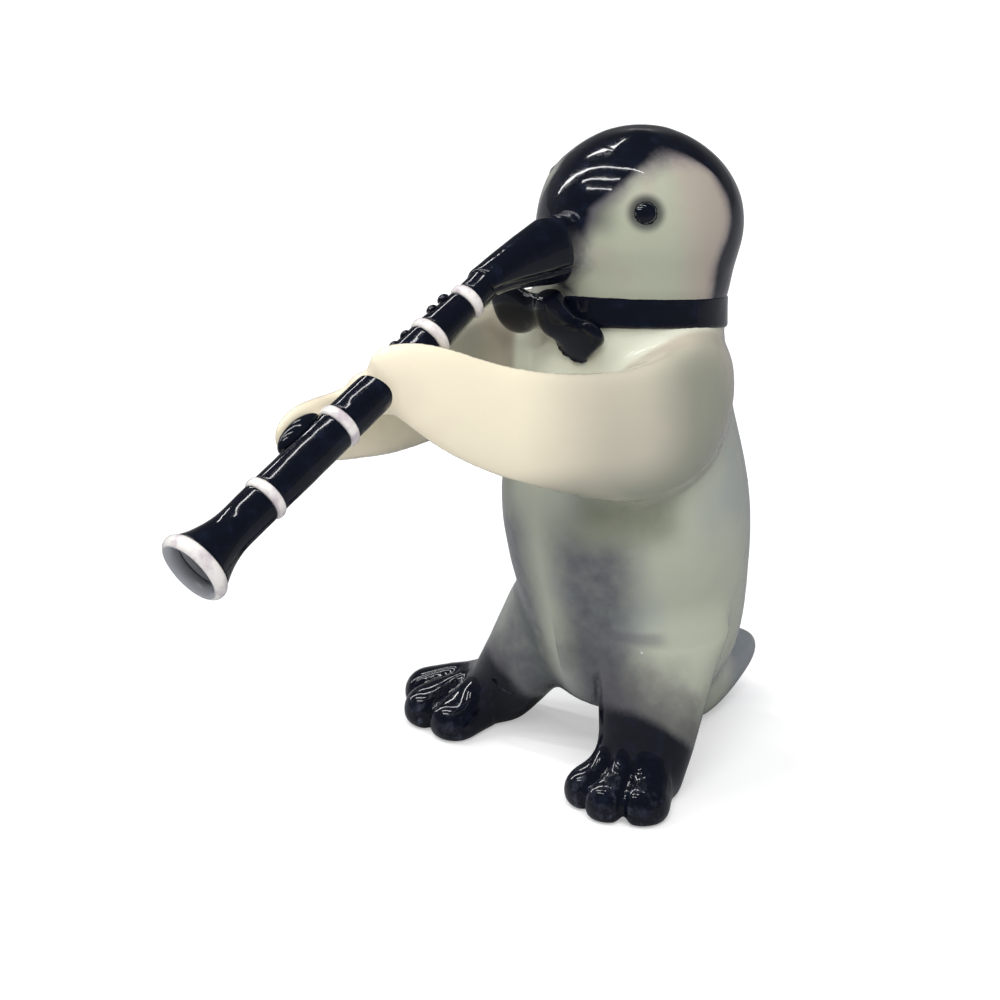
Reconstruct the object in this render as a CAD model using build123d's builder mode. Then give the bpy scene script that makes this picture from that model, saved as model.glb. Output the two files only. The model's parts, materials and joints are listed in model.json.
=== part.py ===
from build123d import *
import os
from math import cos, radians, sin

# Porcelain penguin playing a clarinet, a hand-painted table ornament.
# Millimetres, +Z up. The bird faces -Y and its own left side is towards +X.
# It is drawn round its own upright axis, standing on Z = 0, and every piece is
# shifted at the end so that the origin is the middle of the footprint box.

# Body, from the belly up to the neck seam
belly_bottom_z = 3.6
belly_radius = 9.7
belly_set_back = 1.0
seam_z = 36.4
seam_y = 0.1
seam_pitch = 14.0
seam_roll = 12.0
body_width_share = 0.98
body_depth_share = 1.02
# Rows: height up the body, radius against the belly, set-back, share of the seam's tilt
body_shares = (
    (0.015, 0.44, 1.0, 0.0),
    (0.055, 0.67, 1.0, 0.0),
    (0.135, 0.82, 0.9, 0.0),
    (0.28, 0.92, 0.7, 0.0),
    (0.44, 0.99, 0.15, 0.0),
    (0.582, 0.985, -0.25, 0.0),
    (0.715, 0.895, -0.25, 0.1),
    (0.857, 0.80, -0.05, 0.5),
)

# Head, from the same seam up to the crown
head_height = 14.15
head_radius = 7.95
neck_share = 0.912
head_set_back = 1.5
# Rows: height up the head, radius, set-back, share of the seam's tilt
head_shares = (
    (0.20, 0.955, 0.45, 0.7),
    (0.40, 0.995, 0.85, 0.3),
    (0.60, 0.975, 1.0, 0.0),
    (0.78, 0.81, 1.0, 0.0),
    (0.91, 0.545, 1.0, 0.0),
    (0.975, 0.29, 1.0, 0.0),
)

# Eyes, beads pressed into the cheeks
eye_radius = 1.15
eye_stand = 0.35
left_eye_azimuth = 47.0
right_eye_azimuth = 68.0
eye_height_share = 0.672
eye_level_share = 0.9

# Bill, in two halves that hold the mouthpiece
bill_root_share = 0.79
bill_height_share = 0.515
bill_length = 11.04
bill_droop = 1.6
bill_root_width = 4.5
bill_root_height = 7.0
bill_tip_size = 2.9
gape_root_drop = 1.6
gape_tip_rise = 0.4
# Rows: way along the bill, how much of the taper from root to tip is left, rise against the droop
bill_shares = (
    (0.0, 1.0, 0.0),
    (0.25, 0.78, 0.07),
    (0.47, 0.46, 0.2),
    (0.67, 0.2, 0.3),
    (0.86, 0.0, 0.3),
    (1.0, 0.0, 0.0),
)

# Collar band let into the neck, and the bow tie in front of it
collar_height = 2.2
collar_thickness = 0.7
collar_stand = 0.3
bow_stand = 0.95
bow_rise = 1.9
bow_lean = 16.0
bow_roll = 8.0
knot_width = 2.5
knot_height = 3.4
knot_depth = 2.4
# Rows: way up the knot, its size against the middle
knot_shares = ((0.0, 0.7), (0.25, 1.0), (0.75, 1.0), (1.0, 0.7))
left_loop_length = 3.2
right_loop_length = 4.0
loop_height = 4.7
loop_root_height = 1.8
loop_thickness = 1.8
left_loop_droop = 44.0
right_loop_droop = 5.0
# Rows: way along the loop, height from root to full, thickness
loop_shares = ((0.0, 0.0, 0.85), (0.35, 0.6, 1.0), (0.72, 1.0, 1.0), (0.92, 0.8, 0.9), (1.0, 0.4, 0.6))

# Legs: from the hip inside the body down to the sole, parted from the foot at the ankle
hip_y = -1.7
hip_z = 12.5
hip_radius = 5.1
ankle_z = 5.8
ankle_radius = 4.0
instep_z = 2.4
instep_radius = 3.4
sole_radius = 2.8
left_hip_x = 6.0
left_ankle_x = 7.4
left_ankle_y = -5.1
left_sole_x = 7.8
left_sole_y = -6.4
right_hip_x = 3.8
right_ankle_x = 7.1
right_ankle_y = -4.0
right_sole_x = 11.2
right_sole_y = -4.2

# Feet: three toes each, cut flat underneath
toe_root_radius = 2.6
toe_tip_radius = 1.95
toe_root_z = 1.9
toe_tip_z = 1.15
left_toe_length = 4.5
right_toe_length = 5.4
toe_spread = 36.0
outer_toe_share = 0.97
left_foot_azimuth = 10.0
right_foot_azimuth = 24.0

# Tail, which reaches the table behind the feet
tail_root_y = 5.0
tail_root_z = 6.4
tail_root_radius = 4.7
tail_tip_y = 14.9
tail_tip_z = 3.3
tail_tip_radius = 1.3
tail_sag = 2.3
# Rows: way along the tail, sag below the straight line, taper left from root to tip
tail_shares = (
    (0.0, 0.0, 1.0),
    (0.35, 1.0, 0.62),
    (0.66, 0.5, 0.32),
    (0.88, 0.12, 0.02),
    (0.97, 0.02, -0.22),
)

# Clarinet, along a line that leaves the bill downwards; ways start at the first ring
clarinet_drop = 25.4
mouthpiece_show = 0.78
mouthpiece_length = 2.9
mouthpiece_bevel = 1.2
mouthpiece_tip_radius = 0.7
mouthpiece_radius = 1.25
barrel_length = 3.3
barrel_radius = 1.5
upper_joint_length = 9.2
lower_joint_length = 7.1
joint_radius = 1.6
ring_width = 0.9
ring_stand = 0.18
tenon_share = 0.6
bell_length = 6.5
bell_neck_length = 2.4
bell_mouth_radius = 2.6
rim_length = 1.2
rim_radius = 2.9
bore_radius = 0.85
bore_mouth_radius = 2.0
bore_flare_depth = 2.6
bore_depth = 5.0

# Keywork laid on the clarinet
guard_length = 4.3
guard_height = 1.05
guard_width = 1.9
guard_roll = 50.0
bead_radius = 0.55
bead_stand = 0.25
bead_pitch = 1.25
bead_roll = 36.0
barrel_bead_count = 2
joint_bead_count = 3
# Rows: way along a mound, its size against the middle
mound_shares = ((0.06, 0.45), (0.25, 0.85), (0.5, 1.0), (0.75, 0.85), (0.94, 0.45))

# Flippers: each reaches forward from its shoulder and closes on the clarinet
shoulder_x = 8.2
shoulder_drop = 5.2
flipper_width = 10.6
flipper_thickness = 4.2
left_hold_way = 10.92
left_hold_rise = 2.35
right_hold_way = 19.55
right_hold_rise = 1.75
# Rows: reach forward, distance to the side, rise, width, thickness
left_flipper_shares = (
    (-0.10, 0.45, 0.0, 0.86, 1.1),
    (0.00, 0.93, 0.0, 1.0, 1.15),
    (0.13, 1.06, -0.05, 1.06, 1.0),
    (0.30, 0.97, -0.08, 1.02, 0.86),
    (0.46, 0.76, 0.03, 0.92, 0.74),
    (0.62, 0.58, 0.22, 0.82, 0.64),
    (0.78, 0.42, 0.50, 0.73, 0.56),
    (0.90, 0.27, 0.78, 0.62, 0.50),
    (0.98, 0.10, 0.97, 0.40, 0.42),
)
left_tip_shares = (1.01, -0.06, 1.02)
right_flipper_shares = (
    (-0.08, 0.45, 0.1, 0.80, 1.1),
    (0.00, 0.93, 0.1, 0.92, 1.15),
    (0.12, 1.02, 0.15, 0.92, 1.0),
    (0.28, 0.88, 0.30, 0.84, 0.80),
    (0.44, 0.70, 0.35, 0.78, 0.66),
    (0.60, 0.53, 0.42, 0.68, 0.56),
    (0.75, 0.37, 0.62, 0.56, 0.48),
    (0.89, 0.30, 0.86, 0.49, 0.44),
    (0.97, 0.28, 0.97, 0.31, 0.36),
)
right_tip_shares = (1.0, 0.27, 1.0)

# One overrun for every cut
overrun = 1.0

os.makedirs("parts", exist_ok=True)


def between(start, end, share):
    """The value that lies a share of the way from start to end."""
    return start + (end - start) * share


def oval(plane, x_radius, y_radius):
    """One oval section, ready for a loft."""
    with BuildSketch(plane, mode=Mode.PRIVATE) as section:
        Ellipse(x_radius, y_radius)
    return section.sketch


def tilted(y, z, tilt):
    """A level plane on the bird's axis, tipped by a share of the seam's tilt."""
    return Plane((0, y, z)).rotated((-seam_pitch * tilt, -seam_roll * tilt, 0))


def cleared(piece, *neighbours):
    """Take the neighbours' solids away from a piece, so that it seats face to face."""
    with BuildPart() as seated:
        add(piece.part)
        for neighbour in neighbours:
            add(neighbour.part, mode=Mode.SUBTRACT)
    return seated


# Outer forms of body and head, against which the other pieces are seated
seam_plane = tilted(seam_y, seam_z, 1)
neck_radius = head_radius * neck_share

with BuildPart() as body_form:
    body_sections = [Vertex(0, belly_set_back, belly_bottom_z)]
    for height, size, back, tilt in body_shares:
        plane = tilted(belly_set_back * back, between(belly_bottom_z, seam_z, height), tilt)
        radius = belly_radius * size
        body_sections.append(oval(plane, radius * body_width_share, radius * body_depth_share))
    loft(sections=[*body_sections, oval(seam_plane, neck_radius, neck_radius)])

with BuildPart() as head_form:
    head_sections = [oval(seam_plane, neck_radius, neck_radius)]
    for height, size, back, tilt in head_shares:
        plane = tilted(head_set_back * back, seam_z + head_height * height, tilt)
        head_sections.append(oval(plane, head_radius * size, head_radius * size))
    loft(sections=[*head_sections, Vertex(0, head_set_back, seam_z + head_height)])

# Collar band, let into a groove round the neck
def neck_ring(outer_radius):
    """A flat band round the seam, from the bottom of the groove out to a radius."""
    with BuildPart() as band:
        with BuildSketch(seam_plane):
            Circle(outer_radius)
            Circle(neck_radius + collar_stand - collar_thickness, mode=Mode.SUBTRACT)
        extrude(amount=collar_height / 2, both=True)
    return band


collar_band = neck_ring(neck_radius + collar_stand)
collar_groove = neck_ring(neck_radius + collar_stand + overrun)

# Eyes
eye_reach = head_radius * eye_level_share - eye_radius + eye_stand


def eye(azimuth):
    """One bead, sunk in its socket at an angle from straight ahead."""
    x = eye_reach * sin(radians(azimuth))
    y = head_set_back - eye_reach * cos(radians(azimuth))
    with BuildPart() as bead:
        with Locations((x, y, seam_z + head_height * eye_height_share)):
            Sphere(eye_radius)
    return bead


left_eye = eye(left_eye_azimuth)
right_eye = eye(-right_eye_azimuth)

# Clarinet pieces are turned round one line that starts at the tip of the bill
bill_root = Vector(0, head_set_back - head_radius * bill_root_share,
                   seam_z + head_height * bill_height_share)
bill_tip = bill_root - Vector(0, bill_length, bill_droop)
clarinet_way = Vector(0, -cos(radians(clarinet_drop)), -sin(radians(clarinet_drop)))
first_ring = bill_tip + clarinet_way * mouthpiece_show
clarinet_axis = Axis(first_ring, clarinet_way)
clarinet_plane = Plane(first_ring, x_dir=clarinet_way, z_dir=(1, 0, 0))
ring_starts = [0]
for gap in (barrel_length, upper_joint_length, lower_joint_length):
    ring_starts.append(ring_starts[-1] + ring_width + gap)
bell_start = ring_starts[-1] + ring_width
bell_end = bell_start + bell_length


def tube_section(start, outline, end, end_radius):
    """A turned section whose far end is a tenon under the next ring."""
    tenon = end_radius * tenon_share
    with BuildPart() as section:
        with BuildSketch(clarinet_plane):
            with BuildLine():
                Polyline((start, 0), *outline, (end, end_radius), (end, tenon),
                         (end + ring_width, tenon), (end + ring_width, 0), close=True)
            make_face()
        revolve(axis=clarinet_axis)
    return section


def ring(start, radius):
    """A band with bevelled edges that sits on the tenon between two sections."""
    tenon = radius * tenon_share
    end = start + ring_width
    with BuildPart() as band:
        with BuildSketch(clarinet_plane):
            with BuildLine():
                Polyline((start, radius), (start, tenon), (end, tenon), (end, radius),
                         (end - ring_width / 4, radius + ring_stand),
                         (start + ring_width / 4, radius + ring_stand), close=True)
            make_face()
        revolve(axis=clarinet_axis)
    return band


mouthpiece = tube_section(
    -mouthpiece_length,
    ((-mouthpiece_length, mouthpiece_tip_radius),
     (mouthpiece_bevel - mouthpiece_length, mouthpiece_radius)),
    ring_starts[0], mouthpiece_radius)
barrel = tube_section(
    ring_starts[0] + ring_width, ((ring_starts[0] + ring_width, mouthpiece_radius),),
    ring_starts[1], barrel_radius)
upper_joint = tube_section(
    ring_starts[1] + ring_width, ((ring_starts[1] + ring_width, barrel_radius),),
    ring_starts[2], joint_radius)
lower_joint = tube_section(
    ring_starts[2] + ring_width, ((ring_starts[2] + ring_width, joint_radius),),
    ring_starts[3], joint_radius)
rings = [ring(start, radius) for start, radius in
         zip(ring_starts, (mouthpiece_radius, barrel_radius, joint_radius, joint_radius))]

# Bell, flared outside and in, and the rounded rim at its mouth
with BuildPart() as bell:
    with BuildSketch(clarinet_plane):
        with BuildLine():
            Polyline((bell_end, bore_mouth_radius), (bell_end, bell_mouth_radius))
            flare = TangentArc((bell_start + bell_neck_length, joint_radius), (bell_end, bell_mouth_radius),
                               tangent=(1, 0))
            Polyline((bell_start + bell_neck_length, joint_radius), (bell_start, joint_radius),
                     (bell_start, 0), (bell_end - bore_depth, 0), (bell_end - bore_depth, bore_radius),
                     (bell_end - bore_flare_depth, bore_radius))
            TangentArc((bell_end - bore_flare_depth, bore_radius), (bell_end, bore_mouth_radius),
                       tangent=(1, 0))
        make_face()
    revolve(axis=clarinet_axis)

rim_crest = between(bore_mouth_radius, rim_radius, 1 / 2)
with BuildPart() as bell_rim:
    with BuildSketch(clarinet_plane):
        with BuildLine():
            Line((bell_end, bore_mouth_radius), (bell_end, bell_mouth_radius))
            ThreePointArc((bell_end, bell_mouth_radius), (bell_end + rim_length / 2, rim_radius),
                          (bell_end + rim_length, rim_crest))
            ThreePointArc((bell_end + rim_length, rim_crest),
                          (bell_end + rim_length / 2, bore_mouth_radius), (bell_end, bore_mouth_radius))
        make_face()
    revolve(axis=clarinet_axis)

# Keywork: an oval guard on the lower joint and small beads along the tube
def on_tube(way, roll, radius):
    """A plane on the tube's surface: X along the tube, Z straight out."""
    upward = Vector(0, clarinet_way.Z, -clarinet_way.Y)
    outward = upward * cos(radians(roll)) + Vector(-1, 0, 0) * sin(radians(roll))
    return Plane(first_ring + clarinet_way * way + outward * radius, x_dir=clarinet_way, z_dir=outward)


def mound(plane, length, width, height):
    """A long rounded mound, whose lower half is below the plane."""
    ends = [plane.origin + plane.x_dir * length * side / 2 for side in (-1, 1)]
    sections = [Vertex(*ends[0])]
    for way, size in mound_shares:
        centre = ends[0] + (ends[1] - ends[0]) * way
        section = Plane(centre, x_dir=plane.y_dir, z_dir=plane.x_dir)
        sections.append(oval(section, width / 2 * size, height * size))
    sections.append(Vertex(*ends[1]))
    with BuildPart() as form:
        loft(sections=sections)
    return form


guard_way = ring_starts[2] + ring_width + guard_length / 2
guard_form = mound(on_tube(guard_way, guard_roll, joint_radius), guard_length, guard_width, guard_height)
key_guard = cleared(guard_form, lower_joint)


def bead_row(start, radius, count):
    """A row of small key pads along the tube."""
    with BuildPart() as row:
        for number in range(count):
            plane = on_tube(start + bead_pitch * number, bead_roll, radius)
            with Locations(plane.origin - plane.z_dir * (bead_radius - bead_stand)):
                Sphere(bead_radius)
    return row


bead_start = ring_width + bead_pitch / 2 + bead_radius / 2
barrel_keys = cleared(bead_row(ring_starts[0] + bead_start, barrel_radius, barrel_bead_count), barrel)
joint_keys = cleared(bead_row(ring_starts[1] + bead_start, barrel_radius, joint_bead_count), upper_joint)

# Bill: ovals from the head to the tip, parted along the gape
bill_way = (bill_tip - bill_root).normalized()
gape_root = bill_root - Vector(0, 0, gape_root_drop)
gape_tip = bill_tip + Vector(0, 0, gape_tip_rise)
gape_way = (gape_tip - gape_root).normalized()
gape_plane = Plane(gape_root, x_dir=(1, 0, 0), z_dir=Vector(1, 0, 0).cross(gape_way) * -1)


def bill_half(kept):
    """One half of the bill, seated on the head and round the mouthpiece."""
    sections = []
    for way, taper, rise in bill_shares:
        centre = bill_root + (bill_tip - bill_root) * way + Vector(0, 0, bill_droop * rise)
        plane = Plane(centre, x_dir=(1, 0, 0), z_dir=bill_way)
        width = between(bill_tip_size, bill_root_width, taper)
        height = between(bill_tip_size, bill_root_height, taper)
        sections.append(oval(plane, width / 2, height / 2))
    with BuildPart() as half:
        loft(sections=sections)
        split(bisect_by=gape_plane, keep=kept)
    return cleared(half, head_form, mouthpiece)


upper_bill = bill_half(Keep.TOP)
lower_bill = bill_half(Keep.BOTTOM)

# Body and head, with the groove for the collar and the sockets for the eyes
body = cleared(body_form, collar_groove)
head = cleared(head_form, collar_groove, left_eye, right_eye)

# Legs and feet: one tapered form from hip to sole, parted at the ankle
class Leg:
    """One leg's form, its ankle plane and its sole, on the side given by its sign."""

    def __init__(self, side, hip_x, ankle_x, ankle_y, sole_x, sole_y, azimuth, toe_length):
        self.side = side
        self.azimuth = azimuth
        self.toe_length = toe_length
        hip = Vector(side * hip_x, hip_y, hip_z)
        ankle = Vector(side * ankle_x, ankle_y, ankle_z)
        self.sole = Vector(side * sole_x, sole_y, 0)
        instep = self.sole + (ankle - self.sole) * (instep_z / ankle_z)
        self.cuff = Plane(ankle, x_dir=(1, 0, 0), z_dir=hip - self.sole)
        with BuildPart() as self.form:
            loft(sections=[oval(Plane(centre), radius, radius) for centre, radius in
                           ((self.sole, sole_radius), (instep, instep_radius), (ankle, ankle_radius),
                            (hip, hip_radius))])

    def upper(self):
        """The leg above the ankle, seated on the body."""
        with BuildPart() as shank:
            add(self.form.part)
            split(bisect_by=self.cuff, keep=Keep.TOP)
        return cleared(shank, body_form)

    def foot(self):
        """The foot below the ankle, with three toes, flat underneath."""
        with BuildPart() as lump:
            add(self.form.part)
            split(bisect_by=self.cuff, keep=Keep.BOTTOM)
            for toe in (-1, 0, 1):
                angle = radians(self.azimuth + toe * toe_spread)
                length = self.toe_length * (outer_toe_share if toe else 1)
                ahead = Vector(self.side * sin(angle), -cos(angle), 0)
                root = self.sole + Vector(0, 0, toe_root_z)
                tip = self.sole + ahead * length + Vector(0, 0, toe_tip_z)
                way = (tip - root).normalized()
                reach = (tip - root).length
                with BuildSketch(Plane(root, x_dir=way, z_dir=way.cross(Vector(0, 0, 1)))):
                    with BuildLine():
                        Polyline((reach + toe_tip_radius, 0), (0, 0), (0, toe_root_radius),
                                 (reach, toe_tip_radius))
                        RadiusArc((reach, toe_tip_radius), (reach + toe_tip_radius, 0), toe_tip_radius)
                    make_face()
                revolve(axis=Axis(root, way))
            split(bisect_by=Plane.XY, keep=Keep.TOP)
        return lump


left = Leg(1, left_hip_x, left_ankle_x, left_ankle_y, left_sole_x, left_sole_y,
           left_foot_azimuth, left_toe_length)
right = Leg(-1, right_hip_x, right_ankle_x, right_ankle_y, right_sole_x, right_sole_y,
            right_foot_azimuth, right_toe_length)
left_leg, left_foot = left.upper(), left.foot()
right_leg, right_foot = right.upper(), right.foot()

# Tail
tail_root = Vector(0, tail_root_y, tail_root_z)
tail_tip = Vector(0, tail_tip_y, tail_tip_z)
tail_way = (tail_tip - tail_root).normalized()
with BuildPart() as tail_form:
    tail_sections = []
    for way, sag, taper in tail_shares:
        centre = tail_root + (tail_tip - tail_root) * way - Vector(0, 0, tail_sag * sag)
        radius = between(tail_tip_radius, tail_root_radius, taper)
        tail_sections.append(oval(Plane(centre, x_dir=(1, 0, 0), z_dir=tail_way), radius, radius))
    loft(sections=[*tail_sections, Vertex(*tail_tip)])
    split(bisect_by=Plane.XY, keep=Keep.TOP)
tail = cleared(tail_form, body_form, left_leg, right_leg)


# Flippers
clarinet = (mouthpiece, barrel, upper_joint, lower_joint, bell, *rings, key_guard, barrel_keys, joint_keys)


def flipper(side, hold_way, hold_rise, rows, tip_shares):
    """A flattened arm from the shoulder to its hold on the clarinet, ending on a rounded tip."""
    shoulder = Vector(0, 0, seam_z - shoulder_drop)
    hold = first_ring + clarinet_way * hold_way + Vector(0, 0, hold_rise) - shoulder

    def place(ahead, aside, up):
        return shoulder + Vector(side * shoulder_x * aside, hold.Y * ahead, hold.Z * up)

    centres = [place(*row[:3]) for row in rows] + [place(*tip_shares)]
    sections = []
    for number, (ahead, aside, up, width, thickness) in enumerate(rows):
        way = centres[number + 1] - centres[max(number - 1, 0)]
        upright = way.cross(Vector(0, 0, 1)).cross(way)
        plane = Plane(centres[number], x_dir=upright, z_dir=way)
        sections.append(oval(plane, flipper_width / 2 * width, flipper_thickness / 2 * thickness))
    with BuildPart() as form:
        loft(sections=[*sections, Vertex(*centres[-1])])
    return cleared(form, body_form, head_form, collar_band, *clarinet)


left_flipper = flipper(1, left_hold_way, left_hold_rise, left_flipper_shares, left_tip_shares)
right_flipper = flipper(-1, right_hold_way, right_hold_rise, right_flipper_shares, right_tip_shares)

# Bow tie: a knot and two flared loops, all in one leaning plane
bow_centre = Vector(0, seam_y - neck_radius - bow_stand, seam_z + bow_rise)
bow_plane = Plane(bow_centre, x_dir=(1, 0, 0), z_dir=(0, -1, 0)).rotated((bow_lean, 0, bow_roll))
with BuildPart() as knot_form:
    knot_sections = []
    for way, size in knot_shares:
        centre = bow_plane.origin + bow_plane.y_dir * knot_height * (way - 1 / 2)
        section = Plane(centre, x_dir=bow_plane.x_dir, z_dir=bow_plane.y_dir)
        knot_sections.append(oval(section, knot_width / 2 * size, knot_depth / 2 * size))
    loft(sections=knot_sections)
bow_knot = cleared(knot_form, body_form, head_form, collar_band, lower_bill)


def bow_loop(side, length, droop):
    """A flared loop that hangs outwards from the knot on the side given by its sign."""
    way = bow_plane.x_dir * side * cos(radians(droop)) - bow_plane.y_dir * sin(radians(droop))
    sections = []
    for along, flare, thickness in loop_shares:
        centre = bow_plane.origin + way * between(knot_width / 4, knot_width / 2 + length, along)
        section = Plane(centre, x_dir=bow_plane.z_dir, z_dir=way)
        height = between(loop_root_height, loop_height, flare)
        sections.append(oval(section, loop_thickness / 2 * thickness, height / 2))
    with BuildPart() as form:
        loft(sections=sections)
    return cleared(form, knot_form, body_form, head_form, collar_band,
                   left_flipper, right_flipper, lower_bill)


bow_left_loop = bow_loop(1, left_loop_length, left_loop_droop)
bow_right_loop = bow_loop(-1, right_loop_length, right_loop_droop)

# Labels, the shift to the middle of the footprint box, and the STEP files
pieces = {
    "body": body, "head": head, "upper_bill": upper_bill, "lower_bill": lower_bill,
    "left_eye": left_eye, "right_eye": right_eye, "tail": tail,
    "left_leg": left_leg, "right_leg": right_leg, "left_foot": left_foot, "right_foot": right_foot,
    "left_flipper": left_flipper, "right_flipper": right_flipper,
    "collar_band": collar_band, "bow_knot": bow_knot,
    "bow_left_loop": bow_left_loop, "bow_right_loop": bow_right_loop,
    "mouthpiece": mouthpiece, "barrel": barrel, "upper_joint": upper_joint, "lower_joint": lower_joint,
    "bell": bell, "bell_rim": bell_rim, "key_guard": key_guard,
    "barrel_keys": barrel_keys, "joint_keys": joint_keys,
}
for number, band in enumerate(rings, start=1):
    pieces[f"ring_{number}"] = band

boxes = [piece.part.bounding_box() for piece in pieces.values()]
low = Vector(*(min(getattr(box.min, letter) for box in boxes) for letter in "XYZ"))
high = Vector(*(max(getattr(box.max, letter) for box in boxes) for letter in "XYZ"))
shift = Location((-(low.X + high.X) / 2, -(low.Y + high.Y) / 2, -low.Z))
for name, piece in pieces.items():
    piece.part = piece.part.moved(shift)
    piece.part.label = name
    export_step(piece.part, f"parts/{name}.step")
print("origin shift", shift.position, "size", high - low)
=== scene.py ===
import json
from math import cos, pi, radians, sin

import bpy
import numpy as np
from mathutils import Matrix, Vector
from mathutils.bvhtree import BVHTree

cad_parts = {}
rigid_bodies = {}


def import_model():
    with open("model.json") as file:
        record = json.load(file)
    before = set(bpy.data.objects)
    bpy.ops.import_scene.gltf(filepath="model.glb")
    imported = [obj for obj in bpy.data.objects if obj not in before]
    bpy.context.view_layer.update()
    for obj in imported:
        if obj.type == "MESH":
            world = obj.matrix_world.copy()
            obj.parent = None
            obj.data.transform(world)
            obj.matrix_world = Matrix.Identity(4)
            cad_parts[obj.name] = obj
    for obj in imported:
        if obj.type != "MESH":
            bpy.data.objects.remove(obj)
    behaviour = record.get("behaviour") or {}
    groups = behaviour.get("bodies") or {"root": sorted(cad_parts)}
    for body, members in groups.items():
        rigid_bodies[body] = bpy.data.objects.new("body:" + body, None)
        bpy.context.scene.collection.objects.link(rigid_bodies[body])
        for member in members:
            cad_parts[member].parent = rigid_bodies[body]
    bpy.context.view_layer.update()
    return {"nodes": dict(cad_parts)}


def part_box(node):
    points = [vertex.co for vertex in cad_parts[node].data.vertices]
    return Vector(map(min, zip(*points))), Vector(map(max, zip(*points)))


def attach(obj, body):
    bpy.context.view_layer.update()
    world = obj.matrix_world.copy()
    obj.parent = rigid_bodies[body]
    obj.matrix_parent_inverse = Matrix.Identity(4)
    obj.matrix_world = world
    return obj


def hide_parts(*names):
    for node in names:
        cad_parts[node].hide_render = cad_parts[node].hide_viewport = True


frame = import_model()

# The bird's own upright axis, found from the first ring of the clarinet
ring_reach = 0.016931
ring_low, ring_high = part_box("ring_1")
bird_axis = Vector(((ring_low.x + ring_high.x) / 2, (ring_low.y + ring_high.y) / 2 + ring_reach, 0))

# Neck seam, under the collar band
seam_centre = bird_axis + Vector((0, 0.0001, 0.0364))
seam_pitch = 14.0
seam_roll = 12.0
seam_turn = Matrix.Rotation(radians(-seam_roll), 3, "Y") @ Matrix.Rotation(radians(-seam_pitch), 3, "X")
seam_up = seam_turn @ Vector((0, 0, 1))
collar_radius = 0.00755
collar_clear = 0.0005

# Legs: hips, ankles and soles, and the way from each sole up to its hip
ankle_z = 0.0058
left_hip = bird_axis + Vector((0.0060, -0.0017, 0.0125))
left_ankle = bird_axis + Vector((0.0074, -0.0051, ankle_z))
left_sole = bird_axis + Vector((0.0078, -0.0064, 0))
right_hip = bird_axis + Vector((-0.0038, -0.0017, 0.0125))
right_ankle = bird_axis + Vector((-0.0071, -0.0040, ankle_z))
right_sole = bird_axis + Vector((-0.0112, -0.0042, 0))
left_leg_way = (left_hip - left_sole).normalized()
right_leg_way = (right_hip - right_sole).normalized()
left_foot_azimuth = radians(10.0)
right_foot_azimuth = radians(-24.0)
# The skins part this far below the ankle, clear of the belly
ankle_drop = 0.0012
foot_inner_x = 0.0010
foot_back_y = 0.0015
foot_top_z = 0.0090
sole_layer = 0.0010

# Fineness of the skins, the rounding of their joins, and the rounding by the glaze
trunk_voxel = 0.00023
trunk_round = 0.0016
trunk_steps = 14
head_voxel = 0.00018
head_round = 0.0014
head_steps = 14
brow_centre = bird_axis + Vector((0, -0.0080, 0.0465))
brow_reach = 0.0036
brow_steps = 40
# Root of the bill: a plane, behind which the skin is pressed back to the head
root_centre = bird_axis + Vector((0, -0.00775, 0.0448))
root_way = Vector((0, -0.97, -0.24)).normalized()
root_behind = 0.0004
root_ahead = 0.0007
root_fade = 0.0015
root_span = 0.0060
edge_round = 0.0005
# Toes, parted by grooves that start at a reach from the sole's middle
toe_spread = radians(36.0)
toe_swell = 0.0001
toe_groove_depth = 0.00055
toe_groove_width = 0.00045
toe_reach = 0.0024
toe_end_reach = 0.0090
toe_top_z = 0.0052
toe_fade = 0.0012
bow_voxel = 0.00011
bow_round = 0.0013
bow_steps = 8
small_voxel = 0.00009
small_steps = 5
calming_steps = 3
collar_swell = 0.00014
merge_distance = 1e-7
smooth_angle = radians(50)
wave_size = 0.0045
wave_height = 0.00012

# Gape of the bill, a fine groove along both sides
gape_root = bird_axis + Vector((0, -0.00478, 0.04209))
gape_tip = bird_axis + Vector((0, -0.01582, 0.04249))
gape_width = 0.00016
gape_depth = 0.00016
gape_start_y = bird_axis.y - 0.0070
gape_fade = 0.0010

# Bow tie folds
bow_centre = bird_axis + Vector((0, -0.0081, 0.0383))
fold_depth = 0.00007
fold_count = 2.0
fold_start = 0.0010
fold_run = 0.0020

# Eyes, each in a shallow dark rim
left_eye_centre = (sum((Vector(corner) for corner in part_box("left_eye")), Vector())) / 2
right_eye_centre = (sum((Vector(corner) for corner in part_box("right_eye")), Vector())) / 2
eye_rim_radius = 0.0013
eye_black_radius = 0.00128
eye_halo_radius = 0.0019
rim_height = 0.00005

# Colours of the glaze, as they look in plain light; a few also stand in for shade, and are named so
def tint(red, green, blue):
    """A colour given in 0 to 255 display steps, as linear values."""
    return tuple(((step / 255 + 0.055) / 1.055) ** 2.4 if step > 10 else step / 255 / 12.92
                 for step in (red, green, blue)) + (1.0,)


black = tint(13, 17, 27)
blue_black = tint(24, 30, 48)
torso_grey = tint(176, 180, 164)
torso_cool = tint(160, 166, 161)
# Blue-grey of the belly, partly paint and partly painted shade below the flippers
belly_blue_and_shade = tint(90, 93, 98)
# Olive-grey painted shade under the flippers
olive_painted_shade = tint(132, 136, 118)
# Grey-green along the crease of the right leg, partly painted shade in the crease
crease_green_and_shade = tint(84, 92, 88)
fold_shade = tint(88, 84, 96)
cream = tint(250, 240, 214)
# Greyer cream, partly grey paint and partly painted shade, towards the elbows and the back of the chest
grey_cream_and_shade = tint(194, 188, 171)
cream_blush = tint(226, 206, 186)
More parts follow.
